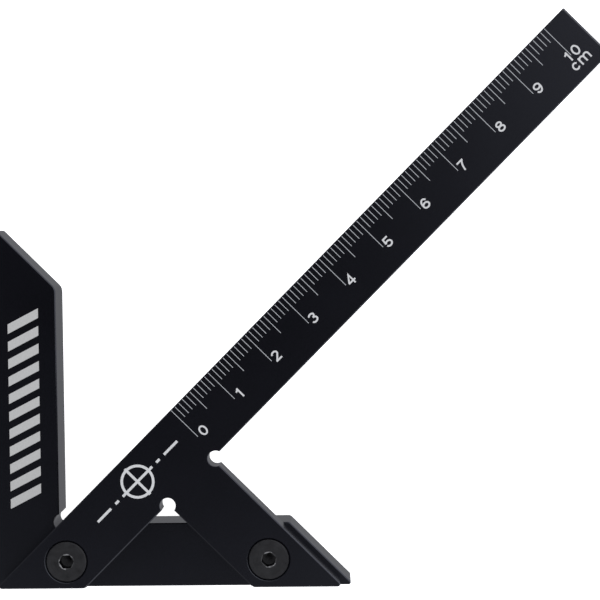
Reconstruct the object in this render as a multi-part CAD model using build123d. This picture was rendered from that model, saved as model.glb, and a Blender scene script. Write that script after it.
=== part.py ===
from build123d import *
import os
from math import ceil, sqrt

# Centre-finding and mitre square. All sizes are in millimetres.
#
# The parts are drawn from the stock's inside corner: X runs along the lower arm, Y up the upright arm, and
# Z from the stock's back face towards the rule plate. The rule leaves that corner at 45 degrees, so places
# on the plate are given along its graduated edge and across it, towards the lower arm. At the end
# everything is moved so that the origin lies at the middle of the square's outline, on the back face.

# ---------------------------------------------------------------- stock
STOCK_THICKNESS = 8.0
ARM_WIDTH = 12.2
LOWER_ARM_INSIDE = 44.5  # from the inside corner to the end cut, which slopes outward at 45 degrees
UPRIGHT_ARM_INSIDE = 45.5
OUTSIDE_CORNER_RADIUS = 0.4
LOWER_TIP_RADIUS = 0.4  # an arm's tip is the sharp end of its end cut
LOWER_SHOULDER_RADIUS = 1.0  # and its shoulder the blunt one
UPRIGHT_TIP_RADIUS = 0.65
UPRIGHT_SHOULDER_RADIUS = 2.0
STOCK_EDGE_BREAK = 0.2  # chamfer round the stock's front and back faces

# ---------------------------------------------------------------- rule plate
PLATE_THICKNESS = 5.0
RULE_WIDTH = 12.1
RULE_END_ALONG = 137.0  # past the scale, whose zero lies at 31.65 and its 100 mm mark at 131.65
LEG_WIDTH = 12.2
LEG_OUTER_ALONG = 30.6
FOOT_INSET = 0.7  # the plate's feet stop this far inside the stock's lower face
FOOT_TIP_RADIUS = 0.5
FOOT_HEEL_RADIUS = 1.3
RULE_END_RADIUS = 0.3
RULE_END_BEVEL = 0.4
PLATE_EDGE_BREAK = 0.2

# ---------------------------------------------------------------- relief holes in the square corners
RELIEF_RADIUS = 1.5
RELIEF_EDGE_BREAK = 0.1
RELIEF_SET_OUT = 0.4  # from the corner into the open side, along each of its two edges
WINDOW_RELIEF_SET_OUT = 0.2

# ---------------------------------------------------------------- M4 x 12 countersunk socket screws
SCREW_LENGTH = 12.0
THREAD_RADIUS = 2.0
THREAD_PITCH = 0.7
THREAD_DEPTH = 0.43
THREAD_FLAT = 0.12  # width of each crest and of each root
THREAD_CLEARANCE = 0.05
TIP_RADIUS = 1.35
HEAD_RADIUS = 3.8
HEAD_EDGE_BREAK = 0.12
SOCKET_ACROSS_FLATS = 2.5
SOCKET_DEPTH = 1.8
SOCKET_POINT = 0.5  # height of the drill's cone below the socket
SOCKET_LEAD_IN = 0.12
SINK_RADIUS = 4.15  # countersink, 90 degrees, at the plate's front face
CLEARANCE_RADIUS = 2.25
SCREWS = {
    # name: (along, across, turn of the socket in degrees)
    "screw_left": (-3.0, 6.0, 2.0),
    "screw_right": (24.3, 33.1, 17.0),
}

FRONT = STOCK_THICKNESS + PLATE_THICKNESS
HEAD_TOP = FRONT  # the screws are flush with the plate's front face
CONE_TOP = FRONT - (SINK_RADIUS - HEAD_RADIUS)  # where a head's cone ends and its short cylinder starts
SCREW_TIP = HEAD_TOP - SCREW_LENGTH
FIRST_ROOT = SCREW_TIP + THREAD_DEPTH + THREAD_PITCH / 2  # Z of the thread's first root
FOOT_LINE = FOOT_INSET - ARM_WIDTH  # Y of the plate's feet
PASS = 1.0  # how far a cutting tool reaches past the face it starts or ends at


def on_rule(along, across):
    """(x, y) of a point given along and across the graduated edge."""
    return ((along + across) / sqrt(2), (along - across) / sqrt(2))


def rule_foot(across):
    """(x, y) where an edge of the rule meets the line of the feet."""
    return (FOOT_LINE + across * sqrt(2), FOOT_LINE)


def leg_foot(along):
    """(x, y) where an edge of the leg meets the line of the feet."""
    return (along * sqrt(2) - FOOT_LINE, FOOT_LINE)


def rounded(outline, corners, radius):
    """The outline with the corners nearest to the given points rounded."""
    found = [outline.vertices().sort_by_distance(Vector(*corner))[0] for corner in corners]
    return fillet(found, radius)


def slab(outline, low, thickness, edge_break):
    """The outline as a flat bar from low up, with the edges of both faces broken."""
    bar = extrude(Pos(0, 0, low) * outline, thickness)
    faces = bar.faces().sort_by(Axis.Z)
    return chamfer(faces[0].edges() + faces[-1].edges(), edge_break)


def turned(profile):
    """A solid of revolution about Z from (radius, z) points."""
    section = make_face(Polyline(*[(r, 0, z) for r, z in profile], close=True))
    return revolve(section, Axis.Z)


def relief_cutter(low, high):
    """A drill for a relief hole through a bar from low up to high. It also breaks the hole's two rims."""
    wide = RELIEF_RADIUS + RELIEF_EDGE_BREAK + PASS
    return turned(
        [
            (0, low - PASS),
            (wide, low - PASS),
            (RELIEF_RADIUS, low + RELIEF_EDGE_BREAK),
            (RELIEF_RADIUS, high - RELIEF_EDGE_BREAK),
            (wide, high + PASS),
            (0, high + PASS),
        ]
    )


def end_wedges():
    """The two wedges to cut from the rule's end, so that its front and back edges are bevelled."""
    reach = RULE_END_BEVEL + PASS
    section = make_face(
        Polyline(
            (RULE_END_ALONG - reach, 0, FRONT + PASS),
            (RULE_END_ALONG + PASS, 0, FRONT + PASS),
            (RULE_END_ALONG + PASS, 0, FRONT - reach),
            close=True,
        )
    )
    front = extrude(section, RULE_WIDTH + PASS, both=True)
    back = mirror(front, Plane.XY.offset(STOCK_THICKNESS + PLATE_THICKNESS / 2))
    return Rot(0, 0, 45) * (front + back)


def thread_rings(low, high, clearance):
    """(radius, z) points of a thread from low up to high. Each turn is a closed ring, not a helix."""
    crest = THREAD_RADIUS + clearance
    half_groove = (THREAD_PITCH - THREAD_FLAT) / 2
    half_root = THREAD_FLAT / 2
    points = [(crest, low)]
    root = FIRST_ROOT + THREAD_PITCH * ceil((low + half_groove - FIRST_ROOT) / THREAD_PITCH)
    while root + half_groove < high:
        points.append((crest, root - half_groove))
        points.append((crest - THREAD_DEPTH, root - half_root))
        points.append((crest - THREAD_DEPTH, root + half_root))
        points.append((crest, root + half_groove))
        root += THREAD_PITCH
    return points + [(crest, high)]


def make_stock():
    outside_corner = (-ARM_WIDTH, -ARM_WIDTH)
    lower_tip = (LOWER_ARM_INSIDE + ARM_WIDTH, -ARM_WIDTH)
    lower_shoulder = (LOWER_ARM_INSIDE, 0)
    upright_tip = (-ARM_WIDTH, UPRIGHT_ARM_INSIDE + ARM_WIDTH)
    upright_shoulder = (0, UPRIGHT_ARM_INSIDE)
    corners = [outside_corner, lower_tip, lower_shoulder, (0, 0), upright_shoulder, upright_tip]
    outline = make_face(Polyline(*corners, close=True))
    outline = rounded(outline, [outside_corner], OUTSIDE_CORNER_RADIUS)
    outline = rounded(outline, [lower_tip], LOWER_TIP_RADIUS)
    outline = rounded(outline, [lower_shoulder], LOWER_SHOULDER_RADIUS)
    outline = rounded(outline, [upright_tip], UPRIGHT_TIP_RADIUS)
    outline = rounded(outline, [upright_shoulder], UPRIGHT_SHOULDER_RADIUS)
    stock = slab(outline, 0, STOCK_THICKNESS, STOCK_EDGE_BREAK)
    stock -= Pos(RELIEF_SET_OUT, RELIEF_SET_OUT) * relief_cutter(0, STOCK_THICKNESS)
    low, high = -PASS, STOCK_THICKNESS + PASS
    tapping = turned([(0, low)] + thread_rings(low, high, THREAD_CLEARANCE) + [(0, high)])
    for along, across, _ in SCREWS.values():
        stock -= Pos(*on_rule(along, across)) * tapping
    return stock


def make_rule_plate():
    window_along = LEG_OUTER_ALONG - LEG_WIDTH
    foot_tips = [rule_foot(0), leg_foot(LEG_OUTER_ALONG)]
    foot_heels = [rule_foot(RULE_WIDTH), leg_foot(window_along)]
    rule_end = [on_rule(RULE_END_ALONG, 0), on_rule(RULE_END_ALONG, RULE_WIDTH)]
    square_corner = on_rule(LEG_OUTER_ALONG, RULE_WIDTH)
    window_corner = on_rule(window_along, RULE_WIDTH)
    corners = [
        foot_tips[0],
        *rule_end,
        square_corner,
        foot_tips[1],
        foot_heels[1],
        window_corner,
        foot_heels[0],
    ]
    outline = make_face(Polyline(*corners, close=True))
    outline = rounded(outline, foot_tips, FOOT_TIP_RADIUS)
    outline = rounded(outline, foot_heels, FOOT_HEEL_RADIUS)
    outline = rounded(outline, rule_end, RULE_END_RADIUS)
    plate = slab(outline, STOCK_THICKNESS, PLATE_THICKNESS, PLATE_EDGE_BREAK) - end_wedges()
    square_relief = on_rule(LEG_OUTER_ALONG + RELIEF_SET_OUT, RULE_WIDTH + RELIEF_SET_OUT)
    window_relief = on_rule(window_along - WINDOW_RELIEF_SET_OUT, RULE_WIDTH + WINDOW_RELIEF_SET_OUT)
    plate -= Pos(*square_relief) * relief_cutter(STOCK_THICKNESS, FRONT)
    plate -= Pos(*window_relief) * relief_cutter(STOCK_THICKNESS, FRONT)
    sink_depth = SINK_RADIUS - CLEARANCE_RADIUS
    screw_hole = turned(
        [
            (0, STOCK_THICKNESS - PASS),
            (CLEARANCE_RADIUS, STOCK_THICKNESS - PASS),
            (CLEARANCE_RADIUS, FRONT - sink_depth),
            (SINK_RADIUS, FRONT),
            (SINK_RADIUS, FRONT + PASS),
            (0, FRONT + PASS),
        ]
    )
    for along, across, _ in SCREWS.values():
        plate -= Pos(*on_rule(along, across)) * screw_hole
    return plate


def make_screw(turn):
    """A screw on the Z axis, at its height in the square, with its socket turned about that axis."""
    cone_foot = CONE_TOP - (HEAD_RADIUS - THREAD_RADIUS)
    body = turned(
        [(0, SCREW_TIP), (TIP_RADIUS, SCREW_TIP)]
        + thread_rings(SCREW_TIP + THREAD_DEPTH, cone_foot, 0)
        + [
            (HEAD_RADIUS, CONE_TOP),
            (HEAD_RADIUS, HEAD_TOP - HEAD_EDGE_BREAK),
            (HEAD_RADIUS - HEAD_EDGE_BREAK, HEAD_TOP),
            (0, HEAD_TOP),
        ]
    )
    flat_radius = SOCKET_ACROSS_FLATS / 2
    floor = HEAD_TOP - SOCKET_DEPTH
    hexagon = RegularPolygon(flat_radius, 6, major_radius=False)
    socket = extrude(Pos(0, 0, floor) * hexagon, SOCKET_DEPTH)
    drill_point = turned([(0, floor - SOCKET_POINT), (flat_radius, floor), (0, floor)])
    lead_in = turned(
        [
            (0, HEAD_TOP - SOCKET_LEAD_IN),
            (flat_radius, HEAD_TOP - SOCKET_LEAD_IN),
            (flat_radius + 2 * SOCKET_LEAD_IN, HEAD_TOP),
            (0, HEAD_TOP),
        ]
    )
    return Rot(0, 0, turn) * (body - socket - drill_point - lead_in)


def main():
    parts = {"stock": make_stock(), "rule_plate": make_rule_plate()}
    for name, (along, across, turn) in SCREWS.items():
        parts[name] = Pos(*on_rule(along, across)) * make_screw(turn)
    outline = Compound([part.solid() for part in parts.values()]).bounding_box()
    middle = outline.center()
    os.makedirs("parts", exist_ok=True)
    for name, part in parts.items():
        placed = Pos(-middle.X, -middle.Y, 0) * part.solid()
        placed.label = name
        export_step(placed, f"parts/{name}.step")
    print(f"inside corner of the stock at x {-middle.X:.3f}, y {-middle.Y:.3f}")


main()
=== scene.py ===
import math

import bpy
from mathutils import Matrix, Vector
from mathutils.geometry import delaunay_2d_cdt


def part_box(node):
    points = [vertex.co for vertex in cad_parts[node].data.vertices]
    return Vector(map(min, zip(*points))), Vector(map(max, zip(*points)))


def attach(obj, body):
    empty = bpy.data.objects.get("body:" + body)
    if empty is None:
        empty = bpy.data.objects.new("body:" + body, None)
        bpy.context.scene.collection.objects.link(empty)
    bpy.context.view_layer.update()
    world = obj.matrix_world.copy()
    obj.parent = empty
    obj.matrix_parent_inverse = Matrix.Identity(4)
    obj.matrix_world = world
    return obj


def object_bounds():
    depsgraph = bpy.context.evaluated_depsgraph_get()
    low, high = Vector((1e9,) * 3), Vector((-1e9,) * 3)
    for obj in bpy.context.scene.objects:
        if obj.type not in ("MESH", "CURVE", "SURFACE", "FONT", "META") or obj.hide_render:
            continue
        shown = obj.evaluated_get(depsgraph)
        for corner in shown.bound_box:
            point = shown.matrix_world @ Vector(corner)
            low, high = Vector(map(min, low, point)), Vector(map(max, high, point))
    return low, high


# Looks of the centre-finding and mitre square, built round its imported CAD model. Everything stands in the
# model's own frame, in metres. Sizes written here are in millimetres and go through MM, apart from the
# floor's and the camera's clip, which are in metres.
MM = 0.001

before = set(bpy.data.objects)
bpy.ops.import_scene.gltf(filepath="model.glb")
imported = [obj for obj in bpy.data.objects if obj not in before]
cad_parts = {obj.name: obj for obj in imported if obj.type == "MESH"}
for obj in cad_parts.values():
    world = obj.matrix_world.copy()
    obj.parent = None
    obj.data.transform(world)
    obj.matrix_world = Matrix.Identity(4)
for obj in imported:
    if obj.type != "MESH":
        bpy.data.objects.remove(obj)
cad_low, cad_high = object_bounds()

# ---------------------------------------------------------------- places, from the CAD model
ARM_WIDTH = 12.2  # of the stock's two arms
stock_low, stock_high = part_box("stock")
_, plate_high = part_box("rule_plate")
STOCK_FACE = stock_high.z
PLATE_FACE = plate_high.z
# The stock's inside corner, where the rule's graduated edge starts.
CORNER = Vector((stock_low.x, stock_low.y)) + Vector((ARM_WIDTH, ARM_WIDTH)) * MM
ALONG_RULE = Vector((1, 1)).normalized()
UP_RULE = Vector((-1, 1)).normalized()  # from the numerals' feet to their heads, towards the graduated edge

# ---------------------------------------------------------------- marks
MARK_RISE = 0.02  # above the face
MARK_DEPTH = 0.03  # into the face
ZERO_ALONG = 31.65  # from the corner to the scale's zero
SCALE_LENGTH = 100
TICK_WIDTH = 0.12
TICK_START = 0.2  # from the graduated edge
TICK_ENDS = {10: 7.2, 5: 4.75, 1: 2.85}  # by the step in millimetres that a tick stands for
NUMERAL_HEIGHT = 2.05
NUMERAL_FOOT = 8.1  # the numerals' feet, from the graduated edge
NUMERAL_GAPS = {0: 0.8, 1: 0.8, 8: 0.61, 9: 0.62}  # from a tick to its numeral
NUMERAL_GAP = 0.54  # the same for the other numerals
ONE_LEFT, ZERO_LEFT = -0.62, 0.24  # the figures of 10, from its tick, in numeral heights
UNIT_HEIGHT = 1.58
UNIT_LEFT = -1.53  # from the last tick
UNIT_FOOT = 10.1
STROKE = 0.33  # the width of the lines that the numerals and the unit are drawn with

# ---------------------------------------------------------------- the room's light, where white is 1
DARK_DIRECTION = (-0.14, 0.005, 1.0)  # the middle of the dark opening overhead
OVERHEAD_LEVEL = 0.005  # there
OVERHEAD_RISE = 15.6  # how fast the room brightens away from it
OVERHEAD_POWER = 1.25  # over 1, so it brightens slowly at first
ROOM_COLOUR = (0.97, 0.98, 1.04, 1.0)
ROOM_LEVEL = 1.1  # the most that it reaches
BRIGHT_AZIMUTH = 15.0  # from X towards Y, in degrees
HORIZON_LEVEL = 1.65  # that the horizon's bright side adds
HORIZON_DIM = 0.25  # all round
HORIZON_FALL = 2.0  # the higher, the narrower the bright side
TABLE_LEVEL = 0.31
# Heights between which the table gives way to the horizon, and the horizon to what is overhead. Straight up
# is 1.
TABLE_END = (-0.45, -0.15)
OVERHEAD_START = (0.15, 0.45)

# ---------------------------------------------------------------- camera
CAMERA_LENS = 90.95
CAMERA_SENSOR = 36.0
CAMERA_PLACE = (52.71, 52.44, 284.96)  # from the corner on the face of the rule
CAMERA_TURN = (-1.933, 1.108, -0.682)  # degrees
CAMERA_CLIP = (0.01, 20.0)  # metres


def on_rule(u, v):
    """The place of a point of the rule's face: u along the graduated edge, v across it and negative on the
    rule."""
    return CORNER + (ALONG_RULE * u + UP_RULE * v) * MM


def on_stock(u, v):
    """The place of a point of the stock's face: u along the lower arm, v up the upright arm."""
    return CORNER + Vector((u, v)) * MM


# ---------------------------------------------------------------- flat shapes
SAME_PLACE = 1e-6  # points nearer than this are one
WELD = 1e-5  # the same, where polygons are joined
SHARPEST_MITRE = 0.4  # the cosine past which a mitre grows no longer


def arc(centre, radii, start, end, step=12):
    """Points on an ellipse from one angle to another, in degrees, anticlockwise from +X."""
    count = max(2, round(abs(end - start) / step))
    angles = [math.radians(start + (end - start) * i / count) for i in range(count + 1)]
    return [(centre[0] + radii[0] * math.cos(a), centre[1] + radii[1] * math.sin(a)) for a in angles]


def ring(centre, radii):
    """A closed ellipse."""
    return arc(centre, radii, 0, 360)


def bend(start, pull, end):
    """Points on a parabola from start to end, drawn towards a third point."""
    count = 8
    points = []
    for i in range(count + 1):
        t = i / count
        weights = ((1 - t) ** 2, 2 * t * (1 - t), t**2)
        points.append(tuple(sum(w * p[k] for w, p in zip(weights, (start, pull, end))) for k in (0, 1)))
    return points


def ribbon(line, width):
    """A stroke of that width along a line, as one four-sided polygon for each run, with mitred joints."""
    points = [Vector(p) for p in line]
    closed = (points[0] - points[-1]).length < SAME_PLACE
    runs = [(b - a).normalized() for a, b in zip(points, points[1:])]
    sides = []
    for i, point in enumerate(points):
        before = runs[i - 1] if i or closed else runs[0]
        after = runs[i] if i < len(runs) else (runs[0] if closed else runs[-1])
        middle = (before + after).normalized()
        mitre = width / 2 / max(SHARPEST_MITRE, middle.dot(after))
        side = Vector((-middle.y, middle.x)) * mitre
        sides.append((point + side, point - side))
    return [(b[0], a[0], a[1], b[1]) for a, b in zip(sides, sides[1:])]


def box_shape(left, low, right, high):
    return [(left, low), (right, low), (right, high), (left, high)]


def area(polygon):
    """The polygon's area, positive where it runs anticlockwise."""
    turned = [*polygon[1:], polygon[0]]
    return sum(a[0] * b[1] - b[0] * a[1] for a, b in zip(polygon, turned)) / 2


def union(polygons):
    """Points and anticlockwise triangles of the area that the polygons cover together."""
    points, faces = [], []
    for polygon in polygons:
        corners = polygon if area(polygon) > 0 else polygon[::-1]
        faces.append(list(range(len(points), len(points) + len(corners))))
        points.extend(Vector(p) for p in corners)
    inside_only = 1
    spots, _, triangles, _, _, sources = delaunay_2d_cdt(points, [], faces, inside_only, WELD, True)
    covered = [list(t) for t, source in zip(triangles, sources) if source]
    return spots, [t if area([spots[i] for i in t]) > 0 else t[::-1] for t in covered]


def mark(name, polygons, place, face, material):
    """A mark on a face, as a thin closed prism of the polygons' joint area."""
    spots, triangles = union(polygons)
    used = sorted({i for t in triangles for i in t})
    number = {spot: i for i, spot in enumerate(used)}
    count = len(used)
    points = [(*place(*spots[i]), face + MARK_RISE * MM) for i in used]
    points += [(*place(*spots[i]), face - MARK_DEPTH * MM) for i in used]
    tops = [[number[i] for i in t] for t in triangles]
    sides = {(t[i], t[(i + 1) % 3]) for t in tops for i in range(3)}
    walls = [(a, a + count, b + count, b) for a, b in sorted(sides) if (b, a) not in sides]
    bottoms = [[i + count for i in reversed(t)] for t in tops]
    mesh = bpy.data.meshes.new(name)
    mesh.from_pydata(points, [], tops + bottoms + walls)
    mesh.materials.append(material)
    piece = bpy.data.objects.new(name, mesh)
    bpy.context.scene.collection.objects.link(piece)
    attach(piece, "root")


# ---------------------------------------------------------------- numerals
# Each is a list of centre lines in a box one unit high and about NUMERAL_WIDTH wide. EDGE is half the
# stroke's width in that unit.
NUMERAL_WIDTH = 0.76
EDGE = STROKE / NUMERAL_HEIGHT / 2
TOP = 1 - EDGE
LEFT, RIGHT = EDGE, NUMERAL_WIDTH - EDGE
MIDDLE = (LEFT + RIGHT) / 2
HALF = (RIGHT - LEFT) / 2


def numeral_lines(digit):
    """The digit's centre lines."""
    if digit == "0":
        return [ring((MIDDLE, 0.5), (HALF, 0.5 - EDGE))]
    if digit == "1":
        stem = 0.40
        return [[(stem, 0), (stem, 1)], arc((0.05, 1.0), (stem - 0.05, 0.25), -80, -15)]
    if digit == "2":
        hook = arc((MIDDLE, 0.70), (HALF * 0.93, TOP - 0.70), 170, -35)
        bar = [(LEFT - EDGE * 0.6, EDGE), (RIGHT + EDGE * 0.6, EDGE)]
        return [hook + [(LEFT + 0.04, EDGE + 0.02)], bar]
    if digit == "3":
        upper = arc((MIDDLE - 0.01, 0.735), (HALF * 0.88, TOP - 0.735), 165, -90)
        lower = arc((MIDDLE - 0.01, 0.305), (HALF, 0.305 - EDGE), 90, -165)
        return [upper, lower]
    if digit == "4":
        stem = 0.55
        bar = 0.30
        return [[(stem, 0), (stem, 1 - EDGE * 0.5), (0.04, bar)], [(0, bar), (0.80, bar)]]
    if digit == "5":
        bowl = arc((MIDDLE, 0.325), (HALF, 0.325 - EDGE), 140, -165)
        return [[(RIGHT, TOP), (LEFT + 0.09, TOP), (LEFT + 0.03, 0.50)] + bowl]
    if digit == "6":
        back = arc((MIDDLE + 0.02, 0.46), (HALF + 0.02, TOP - 0.46), 35, 180)
        return [back + [(LEFT, 0.33)], ring((MIDDLE, 0.32), (HALF, 0.32 - EDGE))]
    if digit == "7":
        bar = [(LEFT - EDGE * 0.6, TOP), (RIGHT + EDGE, TOP)]
        return [bar, bend((RIGHT, TOP), (0.34, 0.62), (0.27, 0))]
    if digit == "8":
        upper = ring((MIDDLE, 0.735), (HALF * 0.85, TOP - 0.735))
        return [upper, ring((MIDDLE, 0.30), (HALF, 0.30 - EDGE))]
    if digit == "9":
        return [[(RIGHT + LEFT - x, 1 - y) for x, y in line] for line in numeral_lines("6")]
    raise ValueError(digit)


def unit_lines():
    """Centre lines of the letters c and m, with a lower-case letter's height as the unit."""
    edge = STROKE / UNIT_HEIGHT / 2
    c_width = 0.92
    m_left, m_right = 1.12, 2.66
    spring = 0.60  # where the m's arches start
    opening = 34  # half the c's gap, in degrees
    c = arc((c_width / 2, 0.5), (c_width / 2 - edge, 0.5 - edge), opening, 360 - opening)
    stem = m_left + edge
    span = (m_right - m_left) / 2 - edge
    arches = []
    for start in (stem, stem + span):
        arch = arc((start + span / 2, spring), (span / 2, 1 - spring - edge), 180, 0)
        arches.append(arch + [(start + span, 0)])
    return [c, [(stem, 0), (stem, 1)], *arches]


def lettering(name, lines, scale, left, foot):
    """A numeral or unit on the rule's face from its centre lines, with its left side and foot there."""
    strokes = [[(left + x * scale, y * scale - foot) for x, y in line] for line in lines]
    polygons = [polygon for line in strokes for polygon in ribbon(line, STROKE)]
    mark(name, polygons, on_rule, PLATE_FACE, RULE_MARKS)


def make_scale():
    """The rule's scale: a tick every millimetre, a numeral every ten, and the unit at the end."""
    ticks = []
    for i in range(SCALE_LENGTH + 1):
        step = next(s for s in TICK_ENDS if i % s == 0)
        left = ZERO_ALONG + i - TICK_WIDTH / 2
        ticks.append(box_shape(left, -TICK_ENDS[step], left + TICK_WIDTH, -TICK_START))
    mark("scale_ticks", ticks, on_rule, PLATE_FACE, TICK_MARKS)
    for i in range(10):
        left = ZERO_ALONG + 10 * i + NUMERAL_GAPS.get(i, NUMERAL_GAP)
        lettering(f"numeral_{i}", numeral_lines(str(i)), NUMERAL_HEIGHT, left, NUMERAL_FOOT)
    last = ZERO_ALONG + SCALE_LENGTH
    ten = []
    for digit, shift in (("1", ONE_LEFT), ("0", ZERO_LEFT)):
        ten += [[(x + shift, y) for x, y in line] for line in numeral_lines(digit)]
    lettering("numeral_10", ten, NUMERAL_HEIGHT, last, NUMERAL_FOOT)
    lettering("unit_cm", unit_lines(), UNIT_HEIGHT, last + UNIT_LEFT, UNIT_FOOT)


# ---------------------------------------------------------------- the two plain ornaments
def make_hatch_band():
    """A band of slanted bars up the stock's upright arm."""
    left, right, low, high = -9.3, -3.4, 3.0, 41.7
    count = 11
    bar_share, slope_share = 0.55, 0.9  # of the pitch
    pitch = (high - low) / (count - 1 + bar_share + slope_share)
    bar = pitch * bar_share
    slope = pitch * slope_share
    bars = []
    for i in range(count):
        foot = low + i * pitch
        bars.append([(left, foot), (right, foot + slope), (right, foot + slope + bar), (left, foot + bar)])
    mark("hatch_band", bars, on_stock, STOCK_FACE, STOCK_MARKS)


def make_centre_mark():
    """A draughtsman's centre mark on the rule's root: a circle with a cross on a chain-dotted line."""
    middle, height = 17.5, -5.0
    radius = 3.0
    arm_along, arm_across = 4.0, 3.4  # the cross's arms, along the rule and across it
    dashes = ((6.7, 10.3), (11.5, 12.4), (22.6, 23.5), (24.7, 28.3))
    width = 0.5
    half = width / 2
    polygons = ribbon(ring((middle, height), (radius, radius)), width)
    polygons.append(box_shape(middle - arm_along, height - half, middle + arm_along, height + half))
    polygons.append(box_shape(middle - half, height - arm_across, middle + half, height + arm_across))
    for start, end in dashes:
        polygons.append(box_shape(start, height - half, end, height + half))
    mark("centre_mark", polygons, on_rule, PLATE_FACE, RULE_MARKS)


# ---------------------------------------------------------------- nodes
# A Mix node's sockets go by number, because they have the same names for every type of data.
MIX_FLOATS, MIX_FLOAT = (2, 3), 0
MIX_SHARE, MIX_COLOURS, MIX_COLOUR = 0, (6, 7), 2
SCALAR_RESULTS = ("DOT_PRODUCT", "LENGTH")


class Nodes:
    """The nodes of a material or a world, with a short way to add each kind that this file needs. In
    keywords, the name of a node's input has _ for a space."""

    def __init__(self, owner):
        owner.use_nodes = True
        self.nodes = owner.node_tree.nodes
        self.link = owner.node_tree.links.new

    def add(self, kind, **values):
        """A node with those inputs and settings."""
        node = self.nodes.new(kind)
        for key, value in values.items():
            name = key.replace("_", " ")
            if name in node.inputs:
                node.inputs[name].default_value = value
            else:
                setattr(node, key, value)
        return node

    def coordinates(self, kind):
        return self.add("ShaderNodeTexCoord").outputs[kind]

    def math(self, operation, *terms):
        """An operation on numbers and sockets."""
        node = self.add("ShaderNodeMath", operation=operation)
        for socket, term in zip(node.inputs, terms):
            if isinstance(term, (int, float)):
                socket.default_value = term
            else:
                self.link(term, socket)
        return node.outputs[0]

    def vector_math(self, operation, vector, fixed=(0, 0, 0)):
        """An operation on a vector's socket and a fixed vector."""
        node = self.add("ShaderNodeVectorMath", operation=operation)
        self.link(vector, node.inputs[0])
        node.inputs[1].default_value = fixed
        return node.outputs["Value" if operation in SCALAR_RESULTS else "Vector"]

    def remap(self, value, **limits):
        """A value taken from one range to another."""
        node = self.add("ShaderNodeMapRange", **limits)
        self.link(value, node.inputs["Value"])
        return node.outputs["Result"]

    def noise(self, place, along="Vector", **values):
        """Noise from 0 to 1 over a place, or along a line where along is W."""
        node = self.add("ShaderNodeTexNoise", **values)
        self.link(place, node.inputs[along])
        return node.outputs["Fac"]


class Surface(Nodes):
    """A new material and its shader."""

    def __init__(self, name):
        self.material = bpy.data.materials.new(name)
        super().__init__(self.material)
        self.shader = self.nodes["Principled BSDF"]

    def put(self, **inputs):
        """Sets the shader's inputs, each to a socket or to one value for the whole surface."""
        for key, value in inputs.items():
            socket = self.shader.inputs[key.replace("_", " ")]
            if isinstance(value, bpy.types.NodeSocket):
                self.link(value, socket)
            else:
                socket.default_value = value

    def mix(self, share, first, second):
        """A value with a fixed share of the second."""
        node = self.add("ShaderNodeMix", data_type="FLOAT", Factor=share)
        for number, source in zip(MIX_FLOATS, (first, second)):
            self.link(source, node.inputs[number])
        return node.outputs[MIX_FLOAT]

    def tint(self, share, colour, over):
        """A colour that gives way to another by a varying share."""
        node = self.add("ShaderNodeMix", data_type="RGBA")
        under_socket, over_socket = (node.inputs[number] for number in MIX_COLOURS)
        self.link(share, node.inputs[MIX_SHARE])
        self.link(colour, under_socket)
        over_socket.default_value = (*over, 1)
        return node.outputs[MIX_COLOUR]

    def ramp(self, value, *stops):
        """A colour that follows a value, through two stops of a place and a colour."""
        node = self.add("ShaderNodeValToRGB")
        for element, (place, colour) in zip(node.color_ramp.elements, stops):
            element.position = place
            element.color = (*colour, 1)
        self.link(value, node.inputs["Fac"])
        return node.outputs["Color"]

    def bump(self, height, strength):
        node = self.add("ShaderNodeBump", Strength=strength, Distance=GRAIN_DEPTH * MM)
        self.link(height, node.inputs["Height"])
        return node.outputs["Normal"]


# ---------------------------------------------------------------- materials
GRAIN_DEPTH = 0.01  # of the surfaces' relief
SOCKET_REACH = 0.2  # of the screw head's width, from the axis
SOCKET_MOUTH = 0.488  # of the screw's length, above its middle
WEAR_PATTERN = 2.0  # picks where the wear falls
WEAR_START, WEAR_END = 0.52, 0.64  # the noise where the oxide starts to wear, and where it is gone
BARE_STEEL = (0.24, 0.24, 0.24)


def anodised_material():
    """Black anodised aluminium over a fine blasted grain."""
    surface = Surface("black_anodised")
    place = surface.coordinates("Object")
    grain = surface.noise(place, Scale=5200.0, Detail=3.0, Roughness=0.6)
    cloud = surface.noise(place, Scale=95.0, Detail=4.0, Roughness=0.55)
    tone = surface.mix(0.35, grain, cloud)
    surface.put(
        Base_Color=surface.ramp(tone, (0.3, (0.0018, 0.0018, 0.0028)), (0.7, (0.0032, 0.0032, 0.0050))),
        Roughness=surface.remap(tone, To_Min=0.15, To_Max=0.23),
        Normal=surface.bump(grain, 0.25),
        Specular_Tint=(0.92, 0.96, 1.1, 1),
    )
    return surface.material


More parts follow.
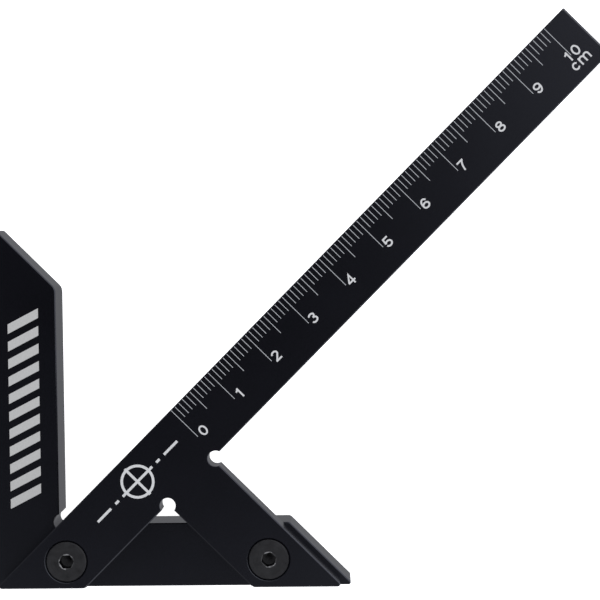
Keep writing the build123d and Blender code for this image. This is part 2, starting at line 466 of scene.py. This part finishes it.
def screw_material():
    """Black oxide on turned steel: fine rings round the screw's axis, cloudy, with painted shade inside the
    socket (a weaker reflection there), and worn to bare steel in patches on the socket's edge."""
    surface = Surface("black_oxide_steel")
    place = surface.coordinates("Object")
    centred = surface.vector_math("SUBTRACT", surface.coordinates("Generated"), (0.5, 0.5, 0.5))
    height = surface.vector_math("DOT_PRODUCT", centred, (0, 0, 1))
    radius = surface.vector_math("LENGTH", surface.vector_math("MULTIPLY", centred, (1, 1, 0)))

    rings = surface.noise(radius, along="W", noise_dimensions="1D", Scale=60.0, Detail=3.0)
    cloud = surface.noise(place, Scale=620.0, Detail=5.0, Roughness=0.65)
    tone = surface.mix(0.65, rings, cloud)
    oxide = surface.ramp(tone, (0.35, (0.0025, 0.0025, 0.0032)), (0.65, (0.0075, 0.0075, 0.0085)))

    # The socket's recess, where its painted shade goes; near the axis but outside it is the socket's edge.
    near_axis = surface.math("LESS_THAN", radius, SOCKET_REACH)
    in_socket = surface.math("MULTIPLY", near_axis, surface.math("LESS_THAN", height, SOCKET_MOUTH))
    at_edge = surface.math("SUBTRACT", near_axis, in_socket)
    patches = surface.noise(place, noise_dimensions="4D", Scale=800.0, Detail=1.0, W=WEAR_PATTERN)
    wear = surface.remap(patches, interpolation_type="SMOOTHSTEP", From_Min=WEAR_START, From_Max=WEAR_END)
    worn = surface.math("MULTIPLY", at_edge, wear)

    surface.put(
        Base_Color=surface.tint(worn, oxide, BARE_STEEL),
        Metallic=worn,
        Roughness=surface.remap(tone, From_Min=0.3, From_Max=0.7, To_Min=0.26, To_Max=0.46),
        # Painted shade: inside the socket's recess the specular level drops, so the hollow reflects less
        # and looks darker.
        Specular_IOR_Level=surface.remap(in_socket, To_Min=0.5, To_Max=0.2),
        Normal=surface.bump(tone, 0.4),
    )
    return surface.material


def mark_material(name, dull, bright):
    """Light grey laser marking, slightly mottled between two tones."""
    surface = Surface(name)
    mottle = surface.noise(surface.coordinates("Object"), Scale=3500.0, Detail=3.0)
    surface.put(
        Base_Color=surface.ramp(mottle, (0.3, dull), (0.7, bright)),
        Roughness=0.8,
        Specular_IOR_Level=0.2,
    )
    return surface.material


def dress_cad_nodes():
    """Gives the CAD model's nodes their materials."""
    anodised, oxide = anodised_material(), screw_material()
    for name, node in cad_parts.items():
        node.data.materials.clear()
        node.data.materials.append(oxide if name.startswith("screw") else anodised)


# ---------------------------------------------------------------- floor, light and camera
def make_floor():
    """A white floor that curves up into a backdrop all round, past the camera. It glows evenly, so the
    object stands on plain white with no shadow. Only the camera sees it: the object is lit by the room."""
    flat, radius, turns = 1.5, 4.0, 64
    gap = 0.02  # under the object
    height = cad_low.z - gap * MM
    profile = [(0.0, 0.0), (flat, 0.0)]
    for angle in range(-80, 91, 10):
        a = math.radians(angle)
        profile.append((flat + radius * math.cos(a), radius + radius * math.sin(a)))
    points, faces = [], []
    for i in range(turns):
        turn = 2 * math.pi * i / turns
        points += [(r * math.cos(turn), r * math.sin(turn), height + z) for r, z in profile]
    size = len(profile)
    for i in range(turns):
        here, after = i * size, (i + 1) % turns * size
        faces += [(here + k, after + k, after + k + 1, here + k + 1) for k in range(size - 1)]
    mesh = bpy.data.meshes.new("floor")
    mesh.from_pydata(points, [], faces)
    surface = Surface("floor_white")
    surface.put(Base_Color=(0.8, 0.8, 0.8, 1), Roughness=0.9)
    surface.put(Emission_Color=(1, 1, 1, 1), Emission_Strength=1.0)
    mesh.materials.append(surface.material)
    floor = bpy.data.objects.new("floor", mesh)
    floor.visible_diffuse = False
    floor.visible_glossy = False
    floor.visible_transmission = False
    floor.visible_shadow = False
    bpy.context.scene.collection.objects.link(floor)


def make_world():
    """A soft white room. Overhead is a dark opening that the room brightens away from, the horizon is
    bright on the side that the rule points to, and the table below is a middle grey."""
    world = bpy.data.worlds.new("room")
    bpy.context.scene.world = world
    room = Nodes(world)
    sight = room.coordinates("Generated")

    def towards(direction):
        """The cosine of the angle from that direction."""
        return room.vector_math("DOT_PRODUCT", sight, Vector(direction).normalized())

    def step_up(value, start, end):
        """0 below start and 1 above end, smooth between them."""
        return room.remap(value, interpolation_type="SMOOTHSTEP", From_Min=start, From_Max=end)

    def blend(share, first, second):
        return room.math("MULTIPLY_ADD", share, room.math("SUBTRACT", second, first), first)

    height = towards((0, 0, 1))
    away = room.math("POWER", room.math("SUBTRACT", 1.0, towards(DARK_DIRECTION)), OVERHEAD_POWER)
    overhead = room.math("MULTIPLY_ADD", away, OVERHEAD_RISE, OVERHEAD_LEVEL)
    upper = room.math("MINIMUM", overhead, ROOM_LEVEL)
    angle = math.radians(BRIGHT_AZIMUTH)
    side = room.math("MULTIPLY_ADD", towards((math.cos(angle), math.sin(angle), 0)), 0.5, 0.5)
    bright_side = room.math("POWER", side, HORIZON_FALL)
    horizon = room.math("MULTIPLY_ADD", bright_side, HORIZON_LEVEL, HORIZON_DIM)
    lower = blend(step_up(height, *TABLE_END), TABLE_LEVEL, horizon)
    level = blend(step_up(height, *OVERHEAD_START), lower, upper)
    background = room.nodes["Background"]
    background.inputs["Color"].default_value = ROOM_COLOUR
    room.link(level, background.inputs["Strength"])


def make_camera():
    """A camera at the place and angle that show the tool from above, as it lies on a table."""
    data = bpy.data.cameras.new("camera")
    data.lens = CAMERA_LENS
    data.sensor_width = CAMERA_SENSOR
    data.clip_start, data.clip_end = CAMERA_CLIP
    camera = bpy.data.objects.new("camera", data)
    base = Vector((*CORNER, PLATE_FACE))
    camera.location = base + Vector(CAMERA_PLACE) * MM
    camera.rotation_euler = [math.radians(a) for a in CAMERA_TURN]
    bpy.context.scene.collection.objects.link(camera)
    bpy.context.scene.camera = camera


RULE_MARKS = mark_material("rule_marks", (0.605, 0.61, 0.60), (0.695, 0.70, 0.69))
TICK_MARKS = mark_material("tick_marks", (0.42, 0.435, 0.44), (0.48, 0.495, 0.505))
STOCK_MARKS = mark_material("stock_marks", (0.48, 0.48, 0.46), (0.54, 0.54, 0.52))
dress_cad_nodes()
make_scale()
make_hatch_band()
make_centre_mark()
make_floor()
make_world()
make_camera()
bpy.context.scene.view_settings.view_transform = "Standard"
